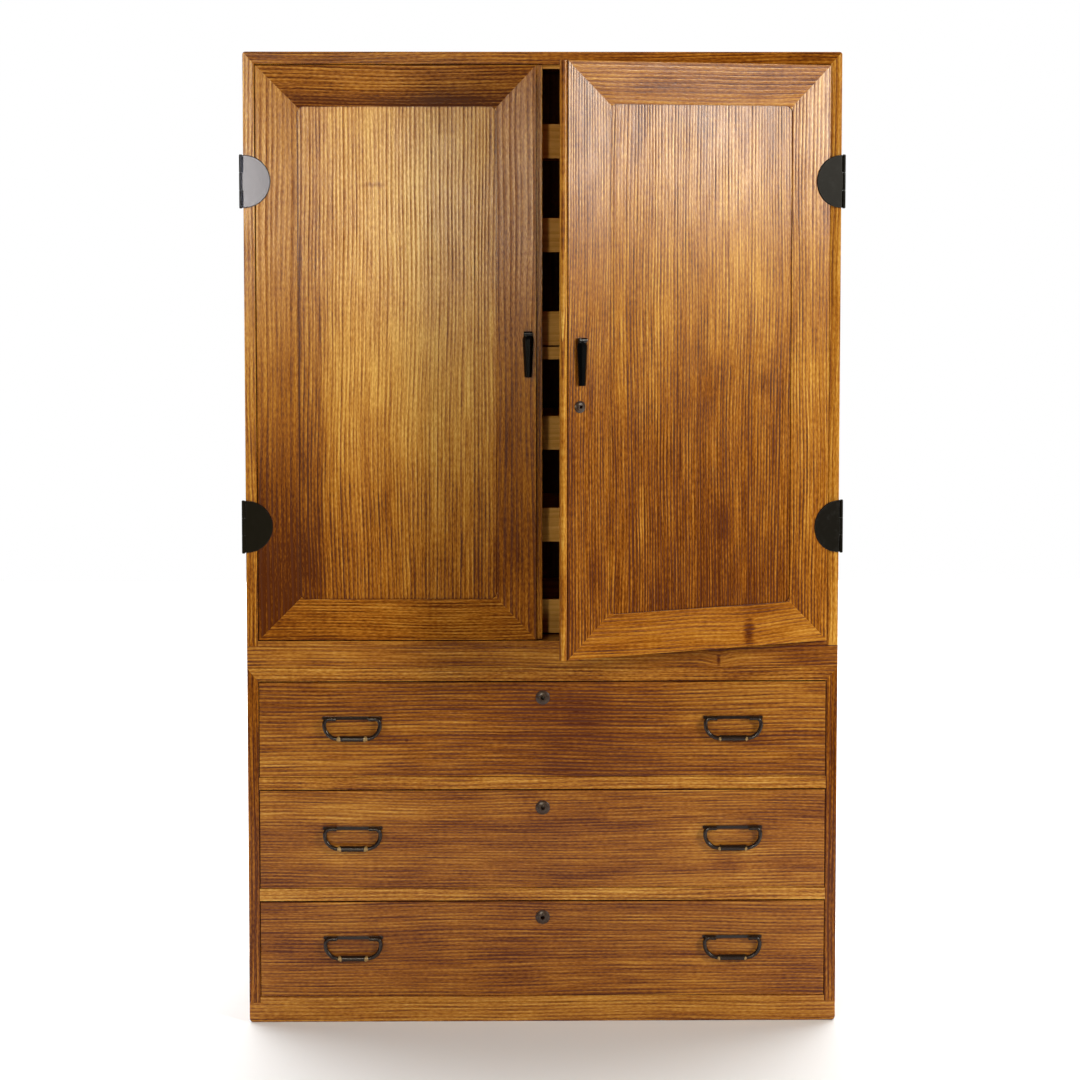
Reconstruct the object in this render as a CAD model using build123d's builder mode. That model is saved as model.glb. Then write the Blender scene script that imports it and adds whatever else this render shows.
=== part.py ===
from build123d import *
from math import atan2, cos, sin
import os

os.makedirs("parts", exist_ok=True)

# Two-part clothing chest. X runs to the right, the front faces -Y, Z is up.
# The origin is on the floor under the middle of the case.

# Carcase shared by both cases
case_width = 1060.0
case_depth = 455.0
side_thickness = 20.0
back_thickness = 9.0

# Lower case, from the floor up
lower_base_height = 36.0
lower_bottom_thickness = 11.0
bottom_bay_height = 175.5
middle_bay_height = 181.0
top_bay_height = 174.5
divider_thickness = 22.5
divider_rail_depth = 45.0
dust_board_thickness = 10.0
lower_top_thickness = 24.0

# Upper case, from the stacking joint up
upper_base_height = 40.0
upper_bottom_thickness = 9.0
lower_compartment_height = 501.5
shelf_thickness = 22.0
upper_compartment_height = 504.5
upper_top_thickness = 22.0
shelf_setback = 62.0

# Base frames
base_rail_depth = 24.0
base_corner_radius = 7.0
top_corner_radius = 5.0
centre_bearer_width = 60.0

# Clearances
door_gap = 1.5
meeting_half_gap = 1.0
drawer_gap = 1.2
drawer_foot_gap = 0.6
drawer_head_gap = 2.2
running_clearance = 0.4
slide_clearance = 0.3
pin_clearance = 0.05
cut_overrun = 2.0
arris = 0.8

# Doors: mitred frame sloping inwards to a panel; a bead on the right door laps over a ledge on the left
door_thickness = 20.0
frame_width = 73.0
meeting_stile_width = 60.0
bevel_drop = 5.0
opening_corner_radius = 13.0
panel_recess = 7.5
panel_thickness = 7.0
groove_depth = 9.0
groove_play = 1.5
ledge_width = 10.7
lap_gap = 1.0
lap_clearance = 0.5
bead_proud = 2.0
bead_depth = 9.0
door_ajar_angle = 22.4
door_stop_gap = 0.5
door_stop_depth = 14.0
door_stop_height = 7.0

# Half-moon hinges, with the barrel standing off the case's outer corner
hinge_height = 93.0
hinge_inset = 205.0
hinge_tip_reach = 26.5
leaf_thickness = 2.2
case_leaf_thickness = 2.0
barrel_radius = 3.0
barrel_side_offset = 4.0
barrel_front_offset = 3.0
hinge_pin_radius = 1.4
hinge_pin_head_radius = 2.4
hinge_pin_head_height = 1.2
case_leaf_straight = 1.5
leaf_bevel = 1.0
knuckle_share = 1 / 3

# Drop pulls on the meeting stiles
pull_x = 25.7
pull_rise = 38.0
pull_length = 78.0
pull_top_half_width = 7.5
pull_shoulder_half_width = 9.8
pull_foot_half_width = 6.2
pull_shoulder_drop = 10.0
pull_stand = 7.0
pull_back_depth = 3.0
pull_front_depth = 6.8
pull_neck_depth_share = 0.3
pull_foot_depth_share = 0.5
pull_facet_share = 0.45
pull_eye_radius = 3.8
pull_eye_width = 6.5
pull_pin_radius = 1.6
pull_plate_width = 12.0
pull_plate_height = 15.0
pull_plate_thickness = 1.6

# Locks
escutcheon_radius = 12.6
door_escutcheon_radius = 10.2
escutcheon_height = 5.0
escutcheon_rim_height = 1.4
escutcheon_dome_share = 0.67
escutcheon_flank_share = 0.65
escutcheon_collar_share = 0.5
key_hole_share = 0.3
lock_plate_thickness = 1.5
door_lock_x = 24.1
door_lock_drop = 70.5
door_lock_plate_height = 79.0
door_lock_plate_margin = 1.0
door_lock_case_height = 66.0
door_lock_case_length = 40.0
door_lock_case_depth = 9.5
door_lock_key_drop = 6.3
door_bolt_rise = 14.0
door_bolt_height = 21.0
door_bolt_thickness = 5.0
door_bolt_length = 28.0
door_bolt_travel = 11.0
strike_height = 44.0
drawer_lock_rise = 57.0
drawer_lock_width = 46.0
drawer_lock_height = 44.0
drawer_lock_depth = 13.0
drawer_bolt_width = 22.0
drawer_bolt_thickness = 6.0
drawer_bolt_height = 24.0
drawer_bolt_travel = 9.0

# Drawers
drawer_front_thickness = 20.0
drawer_board = 12.0
drawer_bottom_thickness = 7.0
drawer_bottom_lift = 4.0
drawer_side_drop = 8.0
drawer_back_gap = 4.0

# Bail handles
handle_end_distance = 166.8
handle_rise = 20.5
bar_length = 107.0
bar_height = 5.4
bar_thickness = 2.6
bar_end_radius = 1.2
post_spacing = 65.0
post_radius = 2.7
bail_stand = 9.0
eye_radius = 4.0
eye_width = 7.0
bail_pin_radius = 2.0
bail_rod_radius = 3.6
bail_half_width = 49.8
bail_drop = 36.0
bail_corner_radius = 9.0
bail_hip_share = 0.97
grip_half_length = 24.0
grip_radius = 5.2
collar_radius = 5.7
collar_width = 2.6

# Clothing trays and the runners that carry them
trays_per_compartment = 3
tray_setback = 66.0
tray_gap = 2.0
tray_board = 10.0
tray_front_height = 61.0
tray_front_lift = 2.5
tray_wall_height = 46.0
tray_bottom_thickness = 5.0
tray_back_gap = 3.0
runner_width = 12.0
runner_height = 12.0

# Levels and planes that follow from the sizes above
half_width = case_width / 2
inner_half = half_width - side_thickness
front_y = -case_depth / 2
back_y = case_depth / 2
panel_y = back_y - back_thickness

drawer_bays = []
level = lower_base_height + lower_bottom_thickness
for bay_height in (bottom_bay_height, middle_bay_height, top_bay_height):
    drawer_bays.append((level, level + bay_height))
    level = level + bay_height + divider_thickness
lower_ceiling = drawer_bays[-1][1]
lower_height = lower_ceiling + lower_top_thickness

upper_floor = lower_height + upper_base_height
door_floor = upper_floor + upper_bottom_thickness
shelf_floor = door_floor + lower_compartment_height
shelf_top = shelf_floor + shelf_thickness
upper_ceiling = shelf_top + upper_compartment_height
total_height = upper_ceiling + upper_top_thickness

door_bottom = door_floor + door_gap
door_top = upper_ceiling - door_gap
door_middle = (door_bottom + door_top) / 2
door_back = front_y + door_thickness
frame_outer = inner_half - door_gap
meeting_rim = {-1: meeting_half_gap + ledge_width, 1: meeting_half_gap}
opening_edge = meeting_rim[-1] + meeting_stile_width
opening_width = frame_outer - frame_width - opening_edge
opening_height = door_top - door_bottom - 2 * frame_width
opening_middle = (frame_outer - frame_width + opening_edge) / 2
hinge_slope = atan2(bevel_drop, frame_width)
hinge_x = half_width + barrel_side_offset
hinge_y = front_y - barrel_front_offset
hinge_levels = (door_bottom + hinge_inset, door_top - hinge_inset)
knuckle_height = hinge_height * knuckle_share
right_hinge_line = Axis((hinge_x, hinge_y, 0), (0, 0, 1))

lock_level = door_middle - door_lock_drop
key_level = lock_level - door_lock_key_drop
bolt_level = lock_level + door_bolt_rise
ledge_y = front_y + bead_depth + lap_clearance
plate_near_y = ledge_y + door_lock_plate_margin
plate_far_y = door_back - door_lock_plate_margin
lock_near_y = door_back - door_lock_case_depth
bolt_y = (plate_near_y + plate_far_y) / 2

drawer_half = inner_half - drawer_gap
handle_x = drawer_half - handle_end_distance
drawer_far_y = panel_y - drawer_back_gap
drawer_box_y = front_y + drawer_front_thickness
drawer_bolt_y = drawer_box_y + drawer_lock_depth / 2


def front_plane(y):
    """Upright plane at depth y, seen from the front: local x is X and local y is Z."""
    return Plane(origin=(0, y, 0), x_dir=(1, 0, 0), z_dir=(0, -1, 0))


def face_plane(x, y, z, lean):
    """Plane on a front surface that is turned about the vertical by lean, facing outwards."""
    return Plane(origin=(x, y, z), x_dir=(cos(lean), sin(lean), 0), z_dir=(sin(lean), -cos(lean), 0))


def side_plane(plane, shift):
    """Plane across a front surface: local x runs up, local y outwards, shifted along the surface."""
    return Plane(origin=plane.origin + plane.x_dir * shift, x_dir=plane.y_dir, z_dir=plane.x_dir)


def block(ranges, mode=Mode.ADD):
    """Block between three pairs of faces, added to or cut from the part being built."""
    with Locations(tuple(sum(span) / 2 for span in ranges)):
        Box(*(max(span) - min(span) for span in ranges), mode=mode)


def board(x_range, y_range, z_range, pockets=()):
    """Square-edged board between three pairs of faces, with square-cornered pockets cut from it."""
    with BuildPart() as piece:
        block((x_range, y_range, z_range))
        for pocket in pockets:
            block(pocket, Mode.SUBTRACT)
    return piece.part


def case_plank(outline, corner_radius):
    """Full-depth board with the given outline from the front, trimmed to the case's rounded upper corners."""
    with BuildPart() as piece:
        with BuildSketch(front_plane(back_y)):
            Polygon(*outline)
            if corner_radius:
                RectangleRounded(case_width, 2 * total_height, corner_radius, mode=Mode.INTERSECT)
        extrude(amount=case_depth)
    return piece.part


def eased(piece, *axes):
    """The piece with an arris taken off the edges of its front face that run along the given axes."""
    with BuildPart() as softened:
        add(piece)
        rim = softened.faces().sort_by(Axis.Y)[0].edges()
        chamfer([edge for axis in axes for edge in rim.filter_by(axis)], arris)
    return softened.part


def save(name, *pieces):
    """Labels one piece, or a group of separate pieces, and writes it."""
    node = pieces[0] if len(pieces) == 1 else Compound(children=list(pieces))
    node.label = name
    export_step(node, f"parts/{name}.step")


def mitred_side(side, foot, ceiling, top, corner_radius):
    """Side board whose upper end is mitred to the top board."""
    outline = [
        (side * half_width, foot),
        (side * inner_half, foot),
        (side * inner_half, ceiling),
        (side * half_width, top),
    ]
    return eased(case_plank(outline, corner_radius), Axis.Z)


def mitred_top(ceiling, top, corner_radius):
    """Top board with both ends mitred."""
    outline = [(-inner_half, ceiling), (inner_half, ceiling), (half_width, top), (-half_width, top)]
    return eased(case_plank(outline, corner_radius), Axis.X)


def base_rail(near_y, foot, height, corner_radius):
    """Full-width rail of a base frame, with its two lower corners rounded where a radius is given."""
    with BuildPart() as rail:
        with BuildSketch(front_plane(near_y + base_rail_depth)) as outline:
            with Locations((0, foot + height / 2)):
                Rectangle(case_width, height)
            if corner_radius:
                fillet(outline.vertices().group_by(Axis.Y)[0], corner_radius)
        extrude(amount=base_rail_depth)
    return rail.part


def side_bearer(side, foot, height):
    """End bearer of a base frame, between its front and back rails."""
    return board(
        (side * (half_width - base_rail_depth), side * half_width),
        (front_y + base_rail_depth, back_y - base_rail_depth),
        (foot, foot + height),
    )


def around(middle, size, margin=0):
    """Range of a given size about a middle, grown by a margin at both ends."""
    return (middle - size / 2 - margin, middle + size / 2 + margin)


def bolt_mortise(ceiling):
    """Pocket in the underside above a drawer, for the drawer's rising bolt."""
    return (
        around(0, drawer_bolt_width, running_clearance),
        around(drawer_bolt_y, drawer_bolt_thickness, running_clearance),
        (ceiling, ceiling + drawer_bolt_travel),
    )


# Lower case
save(
    "lower_base_rails",
    eased(base_rail(front_y, 0, lower_base_height, base_corner_radius), Axis.X),
    base_rail(back_y - base_rail_depth, 0, lower_base_height, base_corner_radius),
)
save(
    "lower_base_bearers",
    side_bearer(-1, 0, lower_base_height),
    side_bearer(1, 0, lower_base_height),
    board(
        (-centre_bearer_width / 2, centre_bearer_width / 2),
        (front_y + base_rail_depth, back_y - base_rail_depth),
        (0, lower_base_height),
    ),
)
save(
    "lower_bottom_board",
    eased(
        board((-inner_half, inner_half), (front_y, panel_y), (lower_base_height, drawer_bays[0][0])),
        Axis.X,
    ),
)
save(
    "lower_sides",
    *(mitred_side(side, lower_base_height, lower_ceiling, lower_height, 0) for side in (-1, 1)),
)

with BuildPart() as lower_top:
    add(mitred_top(lower_ceiling, lower_height, 0))
    block(bolt_mortise(lower_ceiling), Mode.SUBTRACT)
save("lower_top_board", lower_top.part)

save(
    "lower_back_panel",
    board((-inner_half, inner_half), (panel_y, back_y), (lower_base_height, lower_ceiling)),
)

dividers = []
for lower_bay, upper_bay in zip(drawer_bays, drawer_bays[1:]):
    rail_far_y = front_y + divider_rail_depth
    divider_rail = board(
        (-inner_half, inner_half),
        (front_y, rail_far_y),
        (lower_bay[1], upper_bay[0]),
        [bolt_mortise(lower_bay[1])],
    )
    dividers.append(eased(divider_rail, Axis.X))
    dividers.append(
        board(
            (-inner_half, inner_half),
            (rail_far_y, panel_y),
            (upper_bay[0] - dust_board_thickness, upper_bay[0]),
        )
    )
save("drawer_dividers", *dividers)

# Upper case
save(
    "upper_base_rails",
    eased(base_rail(front_y, lower_height, upper_base_height, 0), Axis.X),
    base_rail(back_y - base_rail_depth, lower_height, upper_base_height, 0),
)
save("upper_base_bearers", *(side_bearer(side, lower_height, upper_base_height) for side in (-1, 1)))
save(
    "upper_bottom_board",
    eased(board((-inner_half, inner_half), (front_y, panel_y), (upper_floor, door_floor)), Axis.X),
)
save(
    "upper_sides",
    *(
        mitred_side(side, upper_floor, upper_ceiling, total_height, top_corner_radius)
        for side in (-1, 1)
    ),
)
save("upper_top_board", mitred_top(upper_ceiling, total_height, top_corner_radius))
save(
    "upper_back_panel",
    board((-inner_half, inner_half), (panel_y, back_y), (upper_floor, upper_ceiling)),
)
shelf_y = front_y + shelf_setback
save(
    "upper_mid_shelf",
    board((-inner_half, inner_half), (shelf_y, panel_y), (shelf_floor, shelf_top)),
)

# Supports of the trays, top to bottom: those above the shelf, then those below it
tray_levels = []
for floor, height in ((shelf_top, upper_compartment_height), (door_floor, lower_compartment_height)):
    for count in reversed(range(trays_per_compartment)):
        tray_levels.append(floor + height * count / trays_per_compartment)

battens = []
for support in tray_levels:
    if support not in (shelf_top, door_floor):
        for side in (-1, 1):
            battens.append(
                board(
                    (side * (inner_half - runner_width), side * inner_half),
                    (shelf_y, panel_y),
                    (support - runner_height, support),
                )
            )
stop_y = door_back + door_stop_gap
battens.append(
    board(
        (-inner_half, inner_half),
        (stop_y, stop_y + door_stop_depth),
        (upper_ceiling - door_stop_height, upper_ceiling),
    )
)
save("upper_battens", *battens)

# Trays: front, back and sides round a thin bottom
tray_half = inner_half - tray_gap
tray_near_y = front_y + tray_setback
tray_far_y = panel_y - tray_back_gap
for number, support in enumerate(tray_levels, start=1):
    foot = support + running_clearance
    front_foot = foot + tray_front_lift
    wall_near_y = tray_near_y + tray_board
    wall_far_y = tray_far_y - tray_board
    wall_x = tray_half - tray_board
    front_z = (front_foot, front_foot + tray_front_height)
    bottom_z = (front_foot, front_foot + tray_bottom_thickness)
    wall_z = (foot, foot + tray_wall_height)
    save(
        f"tray_{number}",
        board((-tray_half, tray_half), (tray_near_y, wall_near_y), front_z),
        board((-tray_half, tray_half), (wall_far_y, tray_far_y), wall_z),
        board((-tray_half, -wall_x), (wall_near_y, wall_far_y), wall_z),
        board((wall_x, tray_half), (wall_near_y, wall_far_y), wall_z),
        board((-wall_x, wall_x), (wall_near_y, wall_far_y), bottom_z),
    )


def escutcheon(plane, radius):
    """Turned key-hole boss: a domed flange with a raised collar round the key hole."""
    collar = radius * escutcheon_collar_share
    hole = radius * key_hole_share
    crown = escutcheon_height * escutcheon_dome_share
    flank = escutcheon_rim_height + (crown - escutcheon_rim_height) * escutcheon_flank_share
    with BuildPart() as boss:
        with BuildSketch(Plane(origin=plane.origin, x_dir=plane.x_dir, z_dir=-plane.y_dir)):
            with BuildLine():
                Polyline((hole, 0), (radius, 0), (radius, escutcheon_rim_height))
                ThreePointArc(
                    (radius, escutcheon_rim_height),
                    ((radius + collar) / 2, flank),
                    (collar, crown),
                )
                Polyline(
                    (collar, crown),
                    (collar, escutcheon_height),
                    (hole, escutcheon_height),
                    (hole, 0),
                )
            make_face()
        revolve(axis=Axis(plane.origin, plane.z_dir))
    return boss.part


def handle_mount(plane):
    """Back bar of a drawer handle with the two eye posts that the bail swings in."""
    with BuildPart() as mount:
        with BuildSketch(plane):
            RectangleRounded(bar_length, bar_height, bar_end_radius)
        extrude(amount=bar_thickness)
        with BuildSketch(plane):
            with Locations((-post_spacing / 2, 0), (post_spacing / 2, 0)):
                Circle(post_radius)
        extrude(amount=bail_stand)
        for shift in (-post_spacing / 2, post_spacing / 2):
            with BuildSketch(side_plane(plane, shift - eye_width / 2)):
                with Locations((0, bail_stand)):
                    Circle(eye_radius)
            extrude(amount=eye_width)
        for shift in (-post_spacing / 2, post_spacing / 2):
            with BuildSketch(side_plane(plane, shift - eye_width / 2)):
                with Locations((0, bail_stand)):
                    Circle(bail_pin_radius + pin_clearance)
            extrude(amount=eye_width, mode=Mode.SUBTRACT)
    return mount.part


def bail(plane):
    """Swinging bail: a rod bent in two wide arcs, with a thicker straight grip between two collars."""
    rod_start = post_spacing / 2 + eye_width / 2 + running_clearance
    swing = plane.offset(bail_stand)
    half = [(rod_start, 0), (bail_half_width, 0), (bail_half_width, -bail_drop)]
    corners = [(-x, y) for x, y in half] + list(reversed(half))
    hip_room = min(bail_drop - bail_corner_radius, bail_half_width - grip_half_length)
    bends = [bail_corner_radius, hip_room * bail_hip_share]
    with BuildPart() as rod:
        with BuildLine(swing) as bend_line:
            FilletPolyline(*corners, radius=bends + list(reversed(bends)))
        with BuildSketch(Plane(origin=bend_line.line @ 0, z_dir=bend_line.line % 0)):
            Circle(bail_rod_radius)
        sweep()
        for reach, radius in (
            (grip_half_length, grip_radius),
            (grip_half_length + collar_width, (grip_radius + bail_rod_radius) / 2),
        ):
            with BuildSketch(side_plane(plane, -reach)):
                with Locations((-bail_drop, bail_stand)):
                    Circle(radius)
            extrude(amount=2 * reach)
        for shift in (-grip_half_length, grip_half_length - collar_width):
            with BuildSketch(side_plane(plane, shift)):
                with Locations((-bail_drop, bail_stand)):
                    Circle(collar_radius)
            extrude(amount=collar_width)
        for shift in (-rod_start, rod_start - eye_width):
            with BuildSketch(side_plane(plane, shift)):
                with Locations((0, bail_stand)):
                    Circle(bail_pin_radius)
            extrude(amount=eye_width)
    return rod.part


# Drawers, numbered from the top
for number, bay in enumerate(reversed(drawer_bays), start=1):
    front_foot = bay[0] + drawer_foot_gap
    front_top = bay[1] - drawer_head_gap
    middle = (bay[0] + bay[1]) / 2
    lock_z = middle + drawer_lock_rise

    with BuildPart() as drawer_front:
        with Locations((0, front_y + drawer_front_thickness / 2, (front_foot + front_top) / 2)):
            Box(2 * drawer_half, drawer_front_thickness, front_top - front_foot)
        with BuildSketch(front_plane(drawer_box_y)):
            with Locations((0, lock_z)):
                Circle(escutcheon_radius * key_hole_share)
        extrude(amount=drawer_front_thickness, mode=Mode.SUBTRACT)
    save(f"drawer_{number}_front", eased(drawer_front.part, Axis.X, Axis.Z))

    box_foot = bay[0] + running_clearance
    box_top = front_top - drawer_side_drop
    wall_x = drawer_half - drawer_board
    box_far_y = drawer_far_y - drawer_board
    floor_z = box_foot + drawer_bottom_lift
    save(
        f"drawer_{number}_box",
        board((-drawer_half, -wall_x), (drawer_box_y, drawer_far_y), (box_foot, box_top)),
        board((wall_x, drawer_half), (drawer_box_y, drawer_far_y), (box_foot, box_top)),
        board((-wall_x, wall_x), (box_far_y, drawer_far_y), (floor_z, box_top)),
        board((-wall_x, wall_x), (drawer_box_y, box_far_y), (floor_z, floor_z + drawer_bottom_thickness)),
    )

    bolt_foot = front_top - drawer_bolt_height
    slot = (
        around(0, drawer_bolt_width, slide_clearance),
        around(drawer_bolt_y, drawer_bolt_thickness, slide_clearance),
        (bolt_foot - slide_clearance, front_top),
    )
    save(
        f"drawer_{number}_lock",
        board(
            around(0, drawer_lock_width),
            (drawer_box_y, drawer_box_y + drawer_lock_depth),
            (front_top - drawer_lock_height, front_top),
            [slot],
        ),
        escutcheon(face_plane(0, front_y, lock_z, 0), escutcheon_radius),
    )
    save(
        f"drawer_{number}_lock_bolt",
        board(
            around(0, drawer_bolt_width),
            around(drawer_bolt_y, drawer_bolt_thickness),
            (bolt_foot, front_top),
        ),
    )

    handle_planes = [face_plane(side * handle_x, front_y, middle + handle_rise, 0) for side in (-1, 1)]
    save(f"drawer_{number}_handle_mounts", *(handle_mount(plane) for plane in handle_planes))
    for side_name, plane in zip(("left", "right"), handle_planes):
        save(f"drawer_{number}_{side_name}_bail", bail(plane))


def frame_member(side, outline, rim_axis, slope_plane, slope_profile, slope_length, pockets=()):
    """Mitred member of a door frame: sloped front, eased rim, rounded opening corners, panel groove."""
    with BuildPart() as member:
        with BuildSketch(front_plane(door_back)):
            Polygon(*outline)
        extrude(amount=door_thickness)
        with BuildSketch(slope_plane):
            Polygon(*slope_profile)
        extrude(amount=slope_length, mode=Mode.SUBTRACT)
        with BuildSketch(front_plane(door_back)):
            with Locations((side * opening_middle, door_middle)):
                RectangleRounded(opening_width, opening_height, opening_corner_radius)
        extrude(amount=door_thickness, mode=Mode.SUBTRACT)
        with BuildSketch(front_plane(front_y + panel_recess + panel_thickness)):
            with Locations((side * opening_middle, door_middle)):
                Rectangle(opening_width + 2 * groove_depth, opening_height + 2 * groove_depth)
        extrude(amount=panel_thickness, mode=Mode.SUBTRACT)
        for pocket in pockets:
            block(pocket, Mode.SUBTRACT)
        chamfer(member.edges().filter_by(rim_axis).sort_by(Axis.Y)[0], arris)
    return member.part


def door_frame(side, pockets):
    """Two stiles and two rails of one door, mitred at the corners."""
    rim = meeting_rim[side]
    stile_width = opening_edge - rim
    stretch = 1 + opening_corner_radius / min(frame_width, stile_width)
    hinge_reach = frame_width * stretch
    meeting_reach = stile_width * stretch
    drop = bevel_drop * stretch
    outer = {
        (end, edge): (x, z)
        for end, x in (("hinge", frame_outer), ("meeting", rim))
        for edge, z in (("bottom", door_bottom), ("top", door_top))
    }
    inner = {
        (end, edge): (
            x - hinge_reach if end == "hinge" else x + meeting_reach,
            z + hinge_reach if edge == "bottom" else z - hinge_reach,
        )
        for (end, edge), (x, z) in outer.items()
    }
    members = []
    for end, rim_x, inward in (
        ("hinge", frame_outer, -hinge_reach),
        ("meeting", rim, meeting_reach),
    ):
        outline = [outer[end, "bottom"], outer[end, "top"], inner[end, "top"], inner[end, "bottom"]]
        profile = [
            (side * rim_x, front_y),
            (side * rim_x, front_y - cut_overrun),
            (side * (rim_x + inward), front_y - cut_overrun),
            (side * (rim_x + inward), front_y + drop),
        ]
        members.append(
            frame_member(
                side,
                [(side * x, z) for x, z in outline],
                Axis.Z,
                Plane.XY.offset(door_bottom),
                profile,
                door_top - door_bottom,
                pockets if end == "meeting" else (),
            )
        )
    for edge, rim_z, inward in (("bottom", door_bottom, hinge_reach), ("top", door_top, -hinge_reach)):
        outline = [
            outer["hinge", edge],
            outer["meeting", edge],
            inner["meeting", edge],
            inner["hinge", edge],
        ]
        profile = [
            (front_y, rim_z),
            (front_y - cut_overrun, rim_z),
            (front_y - cut_overrun, rim_z + inward),
            (front_y + drop, rim_z + inward),
        ]
        members.append(
            frame_member(
                side,
                [(side * x, z) for x, z in outline],
                Axis.X,
                Plane.YZ.offset(min(side * frame_outer, side * rim)),
                profile,
                frame_outer - rim,
            )
        )
    return members


def meeting_ledge(pockets):
    """Ledge along the left door's meeting edge, behind the right door's bead when both are closed."""
    return board((-meeting_rim[-1], -meeting_rim[1]), (ledge_y, door_back), (door_bottom, door_top), pockets)


def meeting_bead():
    """Half-round bead along the right door's meeting edge, reaching over the left door's ledge."""
    near_x = lap_gap - meeting_rim[-1]
    far_x = meeting_rim[1]
    nose_y = front_y - bead_proud + (far_x - near_x) / 2
    with BuildPart() as bead:
        with BuildSketch(Plane.XY.offset(door_bottom)):
            with BuildLine():
                crown = ((near_x + far_x) / 2, front_y - bead_proud)
                ThreePointArc((near_x, nose_y), crown, (far_x, nose_y))
                Polyline(
                    (far_x, nose_y),
                    (far_x, front_y + bead_depth),
                    (near_x, front_y + bead_depth),
                    (near_x, nose_y),
                )
            make_face()
        extrude(amount=door_top - door_bottom)
    return bead.part


def door_panel(side):
    """Flat panel whose edges sit in the frame's groove."""
    tongue = groove_depth - groove_play
    near_y = front_y + panel_recess
    half_x = opening_width / 2 + tongue
    half_z = opening_height / 2 + tongue
    return board(
        (side * opening_middle - half_x, side * opening_middle + half_x),
        (near_y, near_y + panel_thickness),
        (door_middle - half_z, door_middle + half_z),
    )


def half_moon_leaf(plane, inward, straight, centre, thickness):
    """Half-moon hinge plate with a bevelled round edge, placed along the inward direction."""
    radius = hinge_height / 2
    with BuildPart() as leaf:
        with BuildSketch(plane):
            with Locations((inward * centre, 0)):
                Circle(radius)
            with Locations((inward * (centre - radius / 2), 0)):
                Rectangle(radius, hinge_height)
            with Locations((inward * (straight - hinge_height / 2), 0)):
                Rectangle(hinge_height, hinge_height + cut_overrun, mode=Mode.SUBTRACT)
        extrude(amount=thickness)
        outer_face = leaf.faces().sort_by(Axis(plane.origin, plane.z_dir))[-1]
        chamfer(outer_face.edges().filter_by(GeomType.CIRCLE), leaf_bevel)
    return leaf.part


def door_hinge_leaf(side, level):
    """Leaf lying on the sloped stile, with the middle knuckle of the barrel."""
    plane = face_plane(side * frame_outer, front_y, level, -side * hinge_slope)
    straight = (frame_outer - half_width + running_clearance) / cos(hinge_slope)
    barrel = (frame_outer - hinge_x) / cos(hinge_slope)
    with BuildPart() as leaf:
        add(half_moon_leaf(plane, -side, straight, hinge_tip_reach - hinge_height / 2, leaf_thickness))
        with BuildSketch(plane):
            with Locations((-side * (straight + barrel) / 2, 0)):
                Rectangle(straight - barrel, knuckle_height)
        extrude(amount=leaf_thickness)
        with BuildSketch(Plane.XY.offset(level - knuckle_height / 2)):
            with Locations((side * hinge_x, hinge_y)):
                Circle(barrel_radius)
        extrude(amount=knuckle_height)
        with BuildSketch(Plane.XY.offset(level - knuckle_height / 2)):
            with Locations((side * hinge_x, hinge_y)):
                Circle(hinge_pin_radius + pin_clearance)
        extrude(amount=knuckle_height, mode=Mode.SUBTRACT)
    return leaf.part


def case_hinge_leaf(side, level):
    """Leaf on the outside of the case, with the upper and lower knuckles of the barrel."""
    plane = Plane(origin=(side * half_width, front_y, level), x_dir=(0, 1, 0), z_dir=(side, 0, 0))
    straight = barrel_radius - barrel_front_offset + running_clearance
    knuckle_near = knuckle_height / 2 + running_clearance
    knuckle_far = hinge_height / 2
    with BuildPart() as leaf:
        add(half_moon_leaf(plane, 1, straight, straight + case_leaf_straight, case_leaf_thickness))
        for low, high in ((-knuckle_far, -knuckle_near), (knuckle_near, knuckle_far)):
            with BuildSketch(plane):
                with Locations(((straight - barrel_front_offset) / 2, (low + high) / 2)):
                    Rectangle(straight + barrel_front_offset, high - low)
            extrude(amount=case_leaf_thickness)
            with BuildSketch(Plane.XY.offset(level + low)):
                with Locations((side * hinge_x, hinge_y)):
                    Circle(barrel_radius)
            extrude(amount=high - low)
            with BuildSketch(Plane.XY.offset(level + low)):
                with Locations((side * hinge_x, hinge_y)):
                    Circle(hinge_pin_radius + pin_clearance)
            extrude(amount=high - low, mode=Mode.SUBTRACT)
    return leaf.part


def hinge_pin(side, level):
    """Pin through the barrel, with a flat head at each end."""
    foot = level - hinge_height / 2
    with BuildPart() as pin:
        with BuildSketch(Plane.XY.offset(foot)):
            with Locations((side * hinge_x, hinge_y)):
                Circle(hinge_pin_radius)
        extrude(amount=hinge_height)
        for head_foot in (foot - hinge_pin_head_height, foot + hinge_height):
            with BuildSketch(Plane.XY.offset(head_foot)):
                with Locations((side * hinge_x, hinge_y)):
                    Circle(hinge_pin_head_radius)
            extrude(amount=hinge_pin_head_height)
    return pin.part


def meeting_plane(side, x, level):
    """Plane on the sloped front of a meeting stile."""
    run = opening_edge - meeting_rim[side]
    depth = bevel_drop * (x - meeting_rim[side]) / run
    return face_plane(side * x, front_y + depth, level, side * atan2(bevel_drop, run))


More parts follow.
